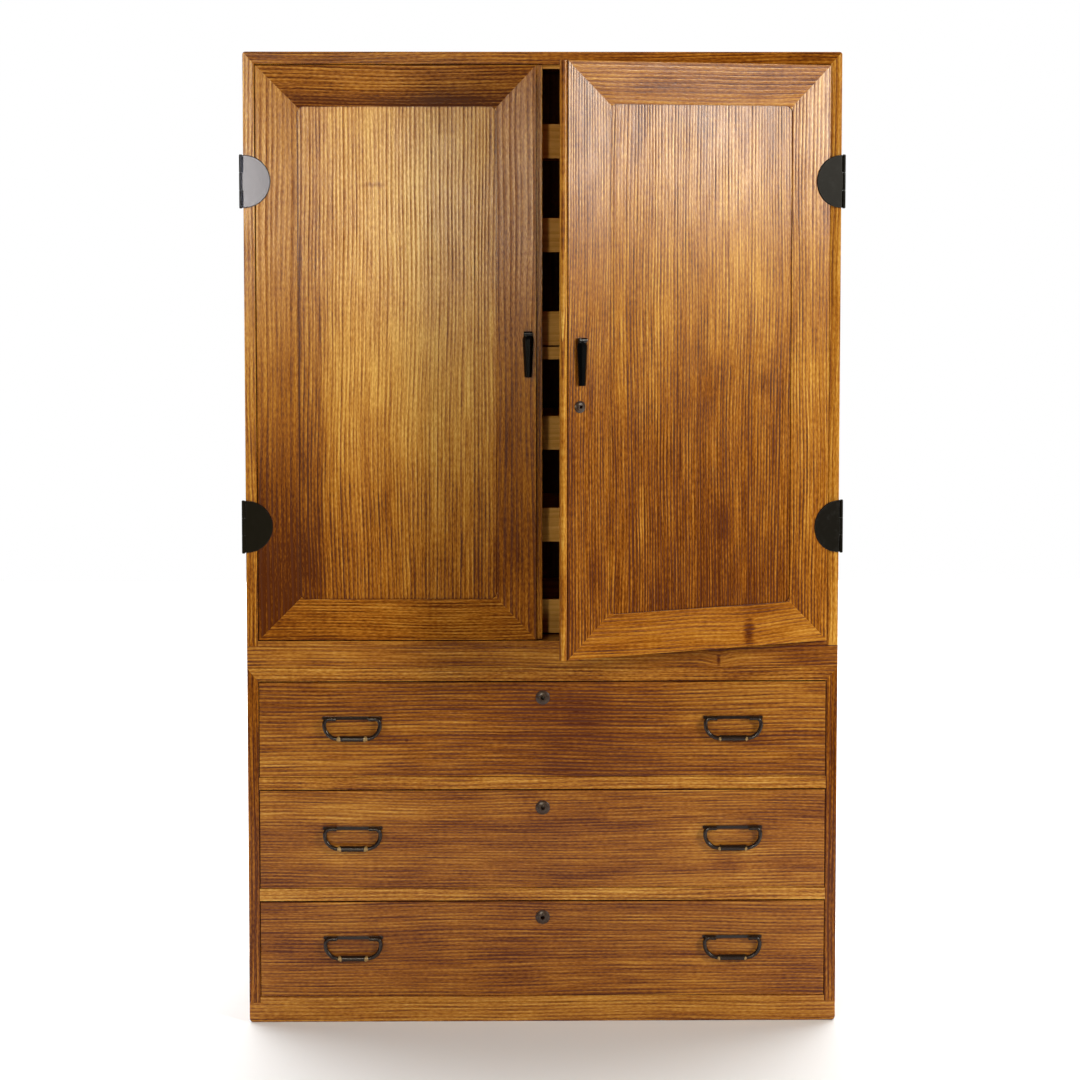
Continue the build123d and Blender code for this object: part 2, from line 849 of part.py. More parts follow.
def pull_mount(plane):
    """Bracket of a drop pull: a small plate with an eye standing on it."""
    with BuildPart() as mount:
        with BuildSketch(plane):
            with Locations((0, pull_eye_radius - pull_plate_height / 2)):
                Ellipse(pull_plate_width / 2, pull_plate_height / 2)
        extrude(amount=pull_plate_thickness)
        with BuildSketch(plane):
            Rectangle(pull_eye_width, 2 * pull_eye_radius)
        extrude(amount=pull_stand)
        with BuildSketch(side_plane(plane, -pull_eye_width / 2)):
            with Locations((0, pull_stand)):
                Circle(pull_eye_radius)
        extrude(amount=pull_eye_width)
        with BuildSketch(side_plane(plane, -pull_eye_width / 2)):
            with Locations((0, pull_stand)):
                Circle(pull_pin_radius + pin_clearance)
        extrude(amount=pull_eye_width, mode=Mode.SUBTRACT)
    return mount.part


def drop_pull(plane):
    """Tapered drop pull with a faceted front, forked at the top round the bracket's eye."""
    neck = pull_eye_radius + running_clearance
    near = pull_stand - pull_back_depth
    lug_x = pull_eye_width / 2 + slide_clearance
    lug_width = pull_top_half_width - lug_x
    with BuildPart() as pull:
        for drop, half, depth_share in (
            (neck, pull_top_half_width, pull_neck_depth_share),
            (pull_shoulder_drop, pull_shoulder_half_width, 1),
            (pull_length, pull_foot_half_width, pull_foot_depth_share),
        ):
            ridge = half * pull_facet_share
            far = pull_stand + pull_front_depth * depth_share
            with BuildSketch(
                Plane(origin=plane.origin - plane.y_dir * drop, x_dir=plane.x_dir, z_dir=-plane.y_dir)
            ):
                Polygon(
                    (-half, near),
                    (half, near),
                    (half, pull_stand),
                    (ridge, far),
                    (-ridge, far),
                    (-half, pull_stand),
                )
        loft(ruled=True)
        for shift in (-pull_top_half_width, lug_x):
            with BuildSketch(side_plane(plane, shift)):
                with Locations((0, pull_stand)):
                    Circle(pull_eye_radius)
                with Locations((-pull_shoulder_drop / 2, pull_stand - pull_back_depth / 2)):
                    Rectangle(pull_shoulder_drop, pull_back_depth)
            extrude(amount=lug_width)
        with BuildSketch(side_plane(plane, -pull_top_half_width)):
            with Locations((0, pull_stand)):
                Circle(pull_pin_radius)
        extrude(amount=2 * pull_top_half_width)
    return pull.part


# Lock in the right door's meeting stile and the strike in the left one, at the closed position
case_x = meeting_half_gap + lock_plate_thickness
plate_y = (plate_near_y, plate_far_y)
lock_plate = ((meeting_half_gap, case_x), plate_y, around(lock_level, door_lock_plate_height))
lock_case = (
    (case_x, case_x + door_lock_case_length),
    (lock_near_y, door_back),
    around(lock_level, door_lock_case_height),
)
bolt_block = (
    (meeting_half_gap, meeting_half_gap + door_bolt_length),
    around(bolt_y, door_bolt_thickness),
    around(bolt_level, door_bolt_height),
)
bolt_slot = (
    (meeting_half_gap, meeting_half_gap + door_bolt_length + slide_clearance),
    around(bolt_y, door_bolt_thickness, slide_clearance),
    around(bolt_level, door_bolt_height, slide_clearance),
)
strike_plate = ((-case_x, -meeting_half_gap), plate_y, around(bolt_level, strike_height))
strike_slot = (
    (-case_x, -meeting_half_gap),
    around(bolt_y, door_bolt_thickness, running_clearance),
    around(bolt_level, door_bolt_height, running_clearance),
)
strike_mortise = ((-case_x - door_bolt_travel, -case_x), strike_slot[1], strike_slot[2])

with BuildPart() as door_lock:
    block(lock_plate)
    block(lock_case)
    block(bolt_slot, Mode.SUBTRACT)

# Doors: modelled closed, then the right one is swung open on its hinge line
for side, name in ((-1, "left"), (1, "right")):
    pockets = [strike_plate, strike_mortise] if side < 0 else [lock_plate, lock_case]
    hinge_stile, meeting_stile, bottom_rail, top_rail = door_frame(side, pockets)
    meeting_edge = meeting_ledge(pockets) if side < 0 else meeting_bead()
    if side > 0:
        with BuildPart() as keyed_stile:
            add(meeting_stile)
            with BuildSketch(front_plane(door_back)):
                with Locations((door_lock_x, key_level)):
                    Circle(door_escutcheon_radius * key_hole_share)
            extrude(amount=door_thickness, mode=Mode.SUBTRACT)
        meeting_stile = keyed_stile.part
    pull_plane = meeting_plane(side, pull_x, door_middle + pull_rise)
    door_pieces = {
        f"{name}_door_stiles": [hinge_stile, meeting_stile, meeting_edge],
        f"{name}_door_rails": [bottom_rail, top_rail],
        f"{name}_door_panel": [door_panel(side)],
        f"{name}_door_hinges": [door_hinge_leaf(side, level) for level in hinge_levels],
        f"{name}_pull_mount": [pull_mount(pull_plane)],
        f"{name}_pull": [drop_pull(pull_plane)],
    }
    if side < 0:
        door_pieces["left_door_strike"] = [board(*strike_plate, [strike_slot])]
    else:
        key_plane = meeting_plane(side, door_lock_x, key_level)
        door_pieces["right_door_lock"] = [door_lock.part, escutcheon(key_plane, door_escutcheon_radius)]
        door_pieces["right_door_lock_bolt"] = [board(*bolt_block)]
    for node, pieces in door_pieces.items():
        if side > 0:
            pieces = [piece.rotate(right_hinge_line, door_ajar_angle) for piece in pieces]
        save(node, *pieces)
    leaves = [case_hinge_leaf(side, level) for level in hinge_levels]
    pins = [hinge_pin(side, level) for level in hinge_levels]
    save(f"{name}_case_hinges", *leaves, *pins)
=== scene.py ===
import math

import bpy
from mathutils import Matrix, Vector


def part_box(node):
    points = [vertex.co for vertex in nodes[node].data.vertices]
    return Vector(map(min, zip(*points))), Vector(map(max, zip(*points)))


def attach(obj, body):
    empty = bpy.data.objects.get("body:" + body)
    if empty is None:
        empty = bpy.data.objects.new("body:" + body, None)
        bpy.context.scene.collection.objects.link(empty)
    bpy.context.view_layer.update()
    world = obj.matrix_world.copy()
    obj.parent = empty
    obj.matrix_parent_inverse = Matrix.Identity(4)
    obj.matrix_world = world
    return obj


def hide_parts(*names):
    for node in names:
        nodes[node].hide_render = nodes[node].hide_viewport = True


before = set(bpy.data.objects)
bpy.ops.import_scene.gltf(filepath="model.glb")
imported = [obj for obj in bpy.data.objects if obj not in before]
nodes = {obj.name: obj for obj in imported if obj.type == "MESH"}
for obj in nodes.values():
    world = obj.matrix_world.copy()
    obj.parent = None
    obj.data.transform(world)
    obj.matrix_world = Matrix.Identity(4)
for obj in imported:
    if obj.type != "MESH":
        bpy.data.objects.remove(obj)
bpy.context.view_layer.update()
scene = bpy.context.scene
scene.view_settings.view_transform = "Standard"
scene.view_settings.look = "None"

MM = 0.001
WHITE = (1.0, 1.0, 1.0)

# The right door stands open by this angle about its hinge line; its grain is drawn as on the closed door
AJAR_DEGREES = 22.4
HINGE_LINE = (0.534, -0.2305, 0.0)

# Wider meeting stiles than in the solids: the panel and the rails give way, less and less towards the hinges
opening_shift = 9.8 * MM
shift_starts = 45.0 * MM
shift_whole = 60.0 * MM
shift_wanes = 105.0 * MM
shift_ends = 380.0 * MM


def shift_at(distance):
    """How far a point of a door moves outwards, by its distance from where the closed doors meet."""
    growing = (distance - shift_starts) / (shift_whole - shift_starts)
    waning = (shift_ends - distance) / (shift_ends - shift_wanes)
    return opening_shift * max(0.0, min(1.0, growing, waning))


# Pieces that are shown in place of a node, by the node's name
shown = {}
hinge = Matrix.Translation(HINGE_LINE)
for side, outwards, turned in (("left", -1.0, 0.0), ("right", 1.0, AJAR_DEGREES)):
    closing = hinge @ Matrix.Rotation(math.radians(-turned), 4, "Z") @ hinge.inverted()
    for piece_name in ("stiles", "rails", "panel"):
        name = f"{side}_door_{piece_name}"
        piece = bpy.data.objects.new(f"{name}_wide", nodes[name].data.copy())
        scene.collection.objects.link(piece)
        for vertex in piece.data.vertices:
            place = closing @ vertex.co
            place.x += outwards * shift_at(outwards * place.x)
            vertex.co = closing.inverted() @ place
        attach(piece, f"{side}_door")
        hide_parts(name)
        shown[name] = piece


class Nodes:
    """Short way to add shader nodes to one node tree and join them."""

    # Cosine of the turn at an edge, and open share in a hollow, from where they begin to where they are full
    EDGE_COSINES = (0.99, 0.80)
    OPEN_SHARES = (0.85, 0.35)

    def __init__(self, tree):
        self.tree = tree
        tree.nodes.clear()

    def add(self, kind, inputs=None, **settings):
        """New node with its settings; each input is a number or colour, or a socket to join."""
        node = self.tree.nodes.new(kind)
        for name, value in settings.items():
            setattr(node, name, value)
        for key, value in (inputs or {}).items():
            if isinstance(value, bpy.types.NodeSocket):
                self.tree.links.new(value, node.inputs[key])
            else:
                node.inputs[key].default_value = value
        return node

    def math(self, operation, *values, clamp=False):
        return self.add(
            "ShaderNodeMath", dict(enumerate(values)), operation=operation, use_clamp=clamp
        ).outputs[0]

    def total(self, *values):
        result = values[0]
        for value in values[1:]:
            result = self.math("ADD", result, value)
        return result

    def vector(self, x, y, z):
        return self.add("ShaderNodeCombineXYZ", {"X": x, "Y": y, "Z": z}).outputs[0]

    def noise(self, where, detail=2.0):
        """Smooth noise about zero, one cycle for each unit of the vector."""
        node = self.add("ShaderNodeTexNoise", {"Vector": where, "Scale": 1.0, "Detail": detail})
        return self.math("SUBTRACT", node.outputs["Fac"], 0.5)

    def spread(self, value, low, high, to_low=0.0, to_high=1.0):
        """Value eased from one range to another and held at its ends."""
        return self.add(
            "ShaderNodeMapRange",
            {"Value": value, "From Min": low, "From Max": high, "To Min": to_low, "To Max": to_high},
            interpolation_type="SMOOTHSTEP",
        ).outputs[0]

    def ramp(self, value, stops):
        """Colour for a value from nought to one, from stops of a position and a colour."""
        node = self.add("ShaderNodeValToRGB", {"Fac": value})
        elements = node.color_ramp.elements
        while len(elements) < len(stops):
            elements.new(0.5)
        for element, (position, colour) in zip(elements, stops):
            element.position = position
            element.color = (*colour, 1.0)
        return node.outputs["Color"]

    def ellipse(self, x, z, centre_x, centre_z, half_width, half_height):
        """Nought at the centre of an upright ellipse and one on its rim."""
        across = self.math("DIVIDE", self.math("SUBTRACT", x, centre_x), half_width)
        up = self.math("DIVIDE", self.math("SUBTRACT", z, centre_z), half_height)
        return self.math("SQRT", self.math("MULTIPLY_ADD", across, across, self.math("MULTIPLY", up, up)))

    def edges(self, radius):
        """One along sharp edges, nought on open faces."""
        true_normal = self.add("ShaderNodeNewGeometry").outputs["True Normal"]
        rounded = self.add("ShaderNodeBevel", {"Radius": radius}, samples=4).outputs[0]
        alike = self.add("ShaderNodeVectorMath", {0: true_normal, 1: rounded}, operation="DOT_PRODUCT")
        return self.spread(alike.outputs["Value"], *self.EDGE_COSINES)

    def crease_shade(self, reach):
        """Painted shade: one deep in creases and gaps, nought on open faces."""
        open_share = self.add("ShaderNodeAmbientOcclusion", {"Distance": reach}, samples=6).outputs["AO"]
        return self.spread(open_share, *self.OPEN_SHARES)

    def principled(self, height, bump_depth, bump_strength, **inputs):
        """Surface with a bump, joined to the material's output."""
        bump = self.add(
            "ShaderNodeBump", {"Height": height, "Distance": bump_depth, "Strength": bump_strength}
        )
        sockets = {name.replace("_", " "): value for name, value in inputs.items()}
        shader = self.add("ShaderNodeBsdfPrincipled", {**sockets, "Normal": bump.outputs[0]})
        self.add("ShaderNodeOutputMaterial", {"Surface": shader.outputs[0]})


def new_material(name):
    """Material with an empty node tree, and the tree's Nodes."""
    material = bpy.data.materials.new(name)
    material.use_nodes = True
    return material, Nodes(material.node_tree)


def put(material, *names):
    """Dress nodes, or the pieces shown in their place, in one material."""
    for name in names:
        mesh = shown.get(name, nodes[name]).data
        mesh.materials.clear()
        mesh.materials.append(material)


# Amber lacquer over straight open grain, from the pale summer wood to the dark pores
AMBER = [
    (0.00, (0.760, 0.430, 0.090)),
    (0.20, (0.600, 0.292, 0.044)),
    (0.45, (0.430, 0.166, 0.016)),
    (0.70, (0.250, 0.074, 0.0055)),
    (1.00, (0.085, 0.019, 0.003)),
]
# The same lacquer with a painted sheen, bluer and a little greener, on the drawer fronts
# and on the rails and boards above, between and below them
AMBER_PAINTED_SHEEN = [(place, (red, 1.09 * green, 1.4 * blue + 0.003)) for place, (red, green, blue) in AMBER]
# Bare paulownia of the trays, their runners and the shelf
PALE = [
    (0.00, (0.66, 0.350, 0.085)),
    (0.20, (0.60, 0.300, 0.065)),
    (0.60, (0.47, 0.215, 0.036)),
    (1.00, (0.30, 0.120, 0.018)),
]
# The paler paulownia of the drawer boxes, and the weathered boards of the backs
BARE = [(0.00, (0.58, 0.400, 0.200)), (0.40, (0.48, 0.310, 0.140)), (1.00, (0.32, 0.180, 0.070))]
AGED = [(0.00, (0.34, 0.205, 0.092)), (0.40, (0.25, 0.140, 0.058)), (1.00, (0.14, 0.072, 0.026))]

# The growth rings are counted across a board and into its depth, with this shift in metres
RING_SHIFT = 0.148
# Noises in the grain: spacing across and along the board in millimetres, step of the seed, and detail
GRAIN_NOISES = {
    "wander": (160.0, 620.0, 0.0, 1.0),
    "waver": (24.0, 140.0, 5.0, 2.0),
    "ripple": (9.0, 70.0, 6.0, 2.0),
    "weight": (22.0, 60.0, 7.0, 2.0),
    "fleck": (2.2, 9.0, 2.0, 1.0),
    "fibre": (2.4, 110.0, 3.0, 1.0),
    "band": (30.0, 900.0, 4.0, 2.0),
}
# How far the rings stray to the side, in millimetres
STRAYS = {"wander": 28.0, "waver": 2.4, "ripple": 0.6}
# Spacing in millimetres of the stretches where rings crowd, by how many rings they do, and step of the seed
CROWD_SPACING = 40.0
CROWD_RINGS = 2.0
CROWD_SEED_STEP = 9.0
# Share of a ring over which its pores thin out, and their weight, uneven by ring and along the board
PORE_SHARE = 0.85
PORE_WEIGHT = 0.5
RING_UNEVEN = 0.5
RING_SEED_FACTOR = 7.3
BOARD_UNEVEN = 1.2
# Knots, in radii: how far the rings bend round one, across and up, and the half width of its dark heart
KNOT_BEND = (4.0, 3.0)
KNOT_HEART = 0.4
# How far the rings bend there in millimetres, how ragged the heart is, and where it starts and is full
KNOT_STRAY = 6.0
KNOT_RAGGED = 2.5
KNOT_FADE = (1.2, 0.2)
# How much darker each thing makes the tone; the mean of the pores is taken off again
PORE_TONE = 0.70
PORE_MEAN = 0.22
FIBRE_TONE = 1.30
FLECK_TONE = 0.80
BAND_TONE = 0.75
CLOUD_TONE = 0.50
KNOT_TONE = 0.55
EDGE_TONE = -0.16
CREASE_SHADE_TONE = 0.50
# From the tone to the place in the palette
PALETTE_SCALE = 0.833
PALETTE_SHIFT = 0.20
# How far the paler edges reach in from an edge, and the painted shade out of a crease
PALE_EDGE_REACH = 1.5 * MM
CREASE_SHADE_REACH = 6.0 * MM
# Clouds in the tone and smudges in the gloss, for each metre across and up
CLOUDS = (5.0, 4.0)
SMUDGES = (14.0, 9.0)
# What pores and smudges add to the roughness, and how flecks lie in the relief beside the pores
PORE_ROUGHNESS = 0.20
SMUDGE_ROUGHNESS = 0.12
FLECK_RELIEF = -0.6
GRAIN_DEPTH = 0.35 * MM
GRAIN_STRENGTH = 0.35


def board_place(n, along, door_turned):
    """Place on a board: x and z in metres, then millimetres along the grain and across it."""
    position = n.add("ShaderNodeTexCoord").outputs["Object"]
    if door_turned:
        position = n.add(
            "ShaderNodeVectorRotate",
            {"Vector": position, "Center": HINGE_LINE, "Angle": math.radians(-AJAR_DEGREES)},
            rotation_type="Z_AXIS",
        ).outputs[0]
    x, y, z = n.add("ShaderNodeSeparateXYZ", {0: position}).outputs
    length, across, depth = {"X": (x, z, y), "Y": (y, x, z), "Z": (z, x, y)}[along]
    return x, z, n.math("DIVIDE", length, MM), n.math("DIVIDE", n.total(across, depth, RING_SHIFT), MM)


def wood(
    name,
    along,
    seed,
    level,
    palette=AMBER,
    ring=7.0,
    contrast=1.0,
    mottle=1.0,
    gloss=0.17,
    shine=0.18,
    door_turned=False,
    stains=(),
    knots=(),
    boards=(),
):
    """Lacquered wood with straight grain along the X, Y or Z axis.

    level is the overall depth of tone, ring the spacing of the growth rings in millimetres, and contrast and
    mottle the strength of the lines and of the short flecks. gloss is the lacquer's roughness, shine how
    strongly it mirrors.
    Each stain is a soft patch, darker or paler, some of them painted shade and highlights:
    (x, z, half width, half height, strength) in metres.
    Each knot is (x, z, radius), and each board (x, strength) is darker or paler as far as its joint at x.
    """
    material, n = new_material(name)
    x, z, length, flat = board_place(n, along, door_turned)

    def grain_noise(kind, where):
        across_spacing, length_spacing, seed_step, detail = GRAIN_NOISES[kind]
        across_part = n.math("DIVIDE", where, across_spacing)
        length_part = n.math("DIVIDE", length, length_spacing)
        return n.noise(n.vector(across_part, length_part, seed + seed_step), detail)

    def blotches(per_metre, detail=2.0):
        across_part = n.math("MULTIPLY", x, per_metre[0])
        up_part = n.math("MULTIPLY", z, per_metre[1])
        return n.noise(n.vector(across_part, seed, up_part), detail)

    # Place across the growth rings, with a slow wander, a waver and a ripple along the board
    rings = flat
    for kind, stray in STRAYS.items():
        rings = n.math("MULTIPLY_ADD", grain_noise(kind, flat), stray, rings)
    for knot_x, knot_z, radius in knots:
        bend = n.ellipse(x, z, knot_x, knot_z, KNOT_BEND[0] * radius, KNOT_BEND[1] * radius)
        rings = n.math("MULTIPLY_ADD", n.spread(bend, 1.0, 0.0), KNOT_STRAY, rings)

    # Rings of uneven width: a dark porous side that fades into pale summer wood, uneven along the board
    crowding = n.noise(n.vector(n.math("DIVIDE", rings, CROWD_SPACING), seed + CROWD_SEED_STEP, 0.0))
    count = n.math("MULTIPLY_ADD", crowding, CROWD_RINGS, n.math("DIVIDE", rings, ring))
    ring_weight = n.add(
        "ShaderNodeTexWhiteNoise",
        {"W": n.math("ADD", n.math("FLOOR", count), seed * RING_SEED_FACTOR)},
        noise_dimensions="1D",
    ).outputs["Value"]
    board_weight = n.math("MULTIPLY_ADD", grain_noise("weight", flat), BOARD_UNEVEN, PORE_WEIGHT)
    weight = n.math("MULTIPLY_ADD", ring_weight, RING_UNEVEN, board_weight)
    porous = n.math("MULTIPLY", n.spread(n.math("FRACT", count), PORE_SHARE, 0.0), weight)

    # Tone from the grain, the marks on the board, its paler edges and the painted shade in its creases and
    # gaps
    fleck = grain_noise("fleck", rings)
    fibre = grain_noise("fibre", rings)
    tone = n.total(
        n.math("MULTIPLY_ADD", porous, PORE_TONE * contrast, level - PORE_MEAN * contrast),
        n.math("MULTIPLY", fibre, FIBRE_TONE * contrast),
        n.math("MULTIPLY", fleck, FLECK_TONE * mottle),
        n.math("MULTIPLY", grain_noise("band", rings), BAND_TONE),
        n.math("MULTIPLY", blotches(CLOUDS), CLOUD_TONE),
    )
    for *place, strength in stains:
        patch = n.spread(n.ellipse(x, z, *place), 1.0, 0.0)
        tone = n.math("MULTIPLY_ADD", patch, strength, tone)
    for joint_x, strength in boards:
        tone = n.math("MULTIPLY_ADD", n.math("LESS_THAN", x, joint_x), strength, tone)
    for knot_x, knot_z, radius in knots:
        heart = n.ellipse(x, z, knot_x, knot_z, KNOT_HEART * radius, radius)
        ragged = n.math("MULTIPLY_ADD", fibre, KNOT_RAGGED, heart)
        tone = n.math("MULTIPLY_ADD", n.spread(ragged, *KNOT_FADE), KNOT_TONE, tone)
    # Paler along the edges
    tone = n.math("MULTIPLY_ADD", n.edges(PALE_EDGE_REACH), EDGE_TONE, tone)
    # Painted shade in creases and gaps
    tone = n.math("MULTIPLY_ADD", n.crease_shade(CREASE_SHADE_REACH), CREASE_SHADE_TONE, tone)

    pore_roughness = n.math("MULTIPLY_ADD", porous, PORE_ROUGHNESS, gloss)
    smudge_roughness = n.math("MULTIPLY", blotches(SMUDGES, 3.0), SMUDGE_ROUGHNESS)
    n.principled(
        n.math("MULTIPLY_ADD", fleck, FLECK_RELIEF, n.math("MULTIPLY", porous, -1.0)),
        GRAIN_DEPTH,
        GRAIN_STRENGTH,
        Base_Color=n.ramp(n.math("MULTIPLY_ADD", tone, PALETTE_SCALE, PALETTE_SHIFT, clamp=True), palette),
        Roughness=n.total(pore_roughness, smudge_roughness),
        Specular_IOR_Level=shine,
    )
    return material


# Blotches and specks in forged metal, for each metre
METAL_BLOTCHES = 90.0
METAL_SPECKS = 900.0
# How far wear reaches in from a metal edge, how bare it gets there and in blotches, and where those are full
METAL_EDGE = 1.0 * MM
EDGE_WEAR = 0.15
BLOTCH_WEAR = 0.02
BLOTCH_FULL = 0.35
# A bare patch fades from here to its rim, and is as bare as this, more or less by the blotches
PATCH_FADES = 0.78
PATCH_WEAR = 0.95
PATCH_UNEVEN = 0.5
# What the specks add to the roughness and, beside the blotches, to the relief
SPECK_ROUGHNESS = 0.25
SPECK_RELIEF = 0.4
METAL_DEPTH = 0.15 * MM
METAL_STRENGTH = 0.3


def metal(name, base, worn, seed, roughness, specular, tint=WHITE, dull_edge=0.0, patches=()):
    """Dark forged metal that shows its worn colour in spots, along its edges and in the given patches.

    tint is the colour of its sheen, and dull_edge how much rougher its edges are. Each patch is a bare place:
    (x, z, half width, half height) in metres.
    """
    material, n = new_material(name)
    position = n.add("ShaderNodeTexCoord").outputs["Object"]
    axes = n.add("ShaderNodeSeparateXYZ", {0: position}).outputs

    def spots(per_metre, detail):
        where = n.add(
            "ShaderNodeVectorMath",
            {0: position, 1: (per_metre,) * 3, 2: (seed,) * 3},
            operation="MULTIPLY_ADD",
        )
        return n.noise(where.outputs[0], detail)

    blotch = spots(METAL_BLOTCHES, 3.0)
    speck = spots(METAL_SPECKS, 2.0)
    edge = n.edges(METAL_EDGE)
    spotted = n.spread(blotch, 0.0, BLOTCH_FULL, 0.0, BLOTCH_WEAR)
    wear = n.math("MULTIPLY_ADD", edge, EDGE_WEAR, spotted)
    for patch in patches:
        inside = n.spread(n.ellipse(axes["X"], axes["Z"], *patch), 1.0, PATCH_FADES)
        bareness = n.math("MULTIPLY_ADD", blotch, PATCH_UNEVEN, PATCH_WEAR)
        wear = n.math("ADD", wear, n.math("MULTIPLY", inside, bareness))
    speckled = n.math("MULTIPLY_ADD", speck, SPECK_ROUGHNESS, roughness)
    n.principled(
        n.math("MULTIPLY_ADD", speck, SPECK_RELIEF, blotch),
        METAL_DEPTH,
        METAL_STRENGTH,
        Base_Color=n.ramp(wear, [(0.0, base), (1.0, worn)]),
        Roughness=n.math("MULTIPLY_ADD", edge, dull_edge, speckled),
        Specular_IOR_Level=specular,
        Specular_Tint=(*tint, 1.0),
    )
    return material


def upright_shade_line(x, half_width, strength):
    """Painted shade line that runs the whole height of a door."""
    door_middle, past_its_ends = 1.20, 9.0
    return x, door_middle, half_width, past_its_ends, strength


def key_hole_shade(x, z):
    """Painted shade that makes the bottom of a key hole black."""
    reach, shade_depth = 6.0 * MM, 1.5
    return x, z, reach, reach, shade_depth


# Left door
put(
    wood(
        "left_stiles", "Z", 1.0, level=0.40, ring=9.5, contrast=0.55, shine=0.11,
        stains=[
            (-0.48, 0.74, 0.20, 0.50, 0.70),
            (-0.03, 0.80, 0.14, 0.70, 0.28),
            (-0.03, 1.40, 0.14, 0.70, 0.12),
            # Paler down the ledge of the lap: painted light on a ledge in shade
            (-0.006, 0.65, 0.006, 0.70, -0.26),
        ],
    ),
    "left_door_stiles",
)
put(
    wood(
        "left_rails", "X", 2.0, level=0.60, ring=6.0, contrast=0.75, shine=0.03,
        # Darker along the top rail: painted shade, as the rail's face tilts down
        stains=[(-0.25, 1.655, 0.60, 0.03, 0.35)],
    ),
    "left_door_rails",
)
put(
    wood(
        "left_panel", "Z", 3.0, level=0.23, contrast=0.85, shine=0.14,
        stains=[
            (-0.23, 1.25, 0.15, 0.65, -0.18),
            (-0.43, 1.00, 0.07, 0.75, 0.32),
            (-0.07, 1.10, 0.08, 0.75, 0.16),
            # Darker towards the bottom: painted shade of the light from above
            (-0.25, 0.74, 0.50, 0.50, 0.40),
            (-0.298, 1.512, 0.030, 0.007, 0.40),
            # Painted shade lines along the panel's two edges
            upright_shade_line(-0.4343, 0.0022, 0.40),
            upright_shade_line(-0.0827, 0.0022, 0.40),
        ],
        boards=[(-0.3945, 0.14)],
    ),
    "left_door_panel",
)

# Right door
put(
    wood(
        "right_stiles", "Z", 4.0, level=0.40, ring=5.6, contrast=0.85, door_turned=True,
        stains=[
            (0.03, 0.80, 0.16, 0.70, 0.38),
            (0.50, 0.75, 0.15, 0.50, 0.22),
            (0.505, 1.30, 0.12, 1.00, -0.13),
            # Darker at the top: painted shade that tones down the sheen there
            (0.035, 1.70, 0.10, 0.35, 0.22),
            # Paler down the bead: painted highlight
            (-0.005, 0.85, 0.011, 0.90, -0.45),
            # Painted shade line beside the bead
            upright_shade_line(0.0018, 0.0016, 0.45),
            (0.052, 0.845, 0.024, 0.065, 0.32),
            # Painted shade at the bottom of the key hole
            key_hole_shade(0.0241, 1.1332),
        ],
    ),
    "right_door_stiles",
)
put(
    wood(
        "right_rails", "X", 5.0, level=0.53, contrast=0.6, mottle=0.8, door_turned=True,
        # The first stain is a painted sheen that makes the left end of the top rail paler
        stains=[(0.07, 1.69, 0.14, 0.07, -0.20), (0.36, 1.69, 0.20, 0.07, 0.10)],
        knots=[(0.352, 0.722, 0.030)],
    ),
    "right_door_rails",
)
put(
    wood(
        "right_panel", "Z", 6.0, level=0.40, ring=6.0, contrast=0.95, door_turned=True,
        stains=[
            # Darker towards the bottom: painted shade of the light from above
            (0.25, 0.70, 0.50, 0.75, 0.52),
            (0.25, 1.40, 0.30, 0.40, -0.10),
            # Darker at the top: painted shade that tones down the sheen there
            (0.25, 1.72, 0.50, 0.30, 0.26),
            # Painted shade line along the panel's meeting edge
            upright_shade_line(0.0827, 0.0022, 0.40),
            (0.304, 0.925, 0.040, 0.065, 0.26),
            (0.381, 1.164, 0.026, 0.034, 0.22),
        ],
    ),
    "right_door_panel",
)

# Cases
put(wood("upper_top", "X", 7.0, level=0.66, ring=6.0, contrast=0.8, shine=0.05), "upper_top_board")
put(
    wood(
        "upper_base", "X", 17.0, palette=AMBER_PAINTED_SHEEN, level=0.62, ring=6.5, contrast=0.7, mottle=0.7,
        knots=[(0.316, 0.660, 0.010)],
    ),
    "upper_base_rails",
    "upper_bottom_board",
)
put(
    wood(
        "upper_side_boards", "Z", 8.0, level=0.36, contrast=0.8,
        stains=[
            (-0.53, 1.10, 0.20, 0.40, 0.14),
            (-0.53, 0.66, 0.20, 0.35, 0.30),
            (0.53, 1.20, 0.10, 0.90, -0.14),
        ],
    ),
    "upper_sides",
)
# Dark all over: painted shade, as dark as the shaded front edges of these sides
put(wood("lower_side_boards", "Z", 18.0, level=0.74, contrast=0.8), "lower_sides")
put(wood("lower_top", "X", 9.0, palette=AMBER_PAINTED_SHEEN, level=0.55, contrast=0.8), "lower_top_board")
put(
    wood("lower_base", "X", 19.0, palette=AMBER_PAINTED_SHEEN, level=0.46, ring=6.8, contrast=0.6, mottle=0.8),
    "lower_base_rails",
    "lower_bottom_board",
)
put(wood("dividers", "X", 10.0, palette=AMBER_PAINTED_SHEEN, level=0.46, contrast=0.7), "drawer_dividers")
put(wood("bearers", "Y", 11.0, level=0.46), "upper_base_bearers", "lower_base_bearers")
put(
    wood("back_boards", "Z", 21.0, palette=AGED, level=0.45, ring=11.0, contrast=0.6, gloss=0.55, shine=0.05),
    "upper_back_panel",
    "lower_back_panel",
)

# Drawer fronts: level, ring and contrast, then the stains in the middle and at the right end
DRAWERS = (1, 2, 3)
drawer_looks = {
    1: (0.60, 7.0, 0.70, 0.22, -0.06),
    2: (0.57, 5.6, 0.64, 0.14, 0.12),
    3: (0.64, 6.5, 0.62, 0.08, 0.0),
}
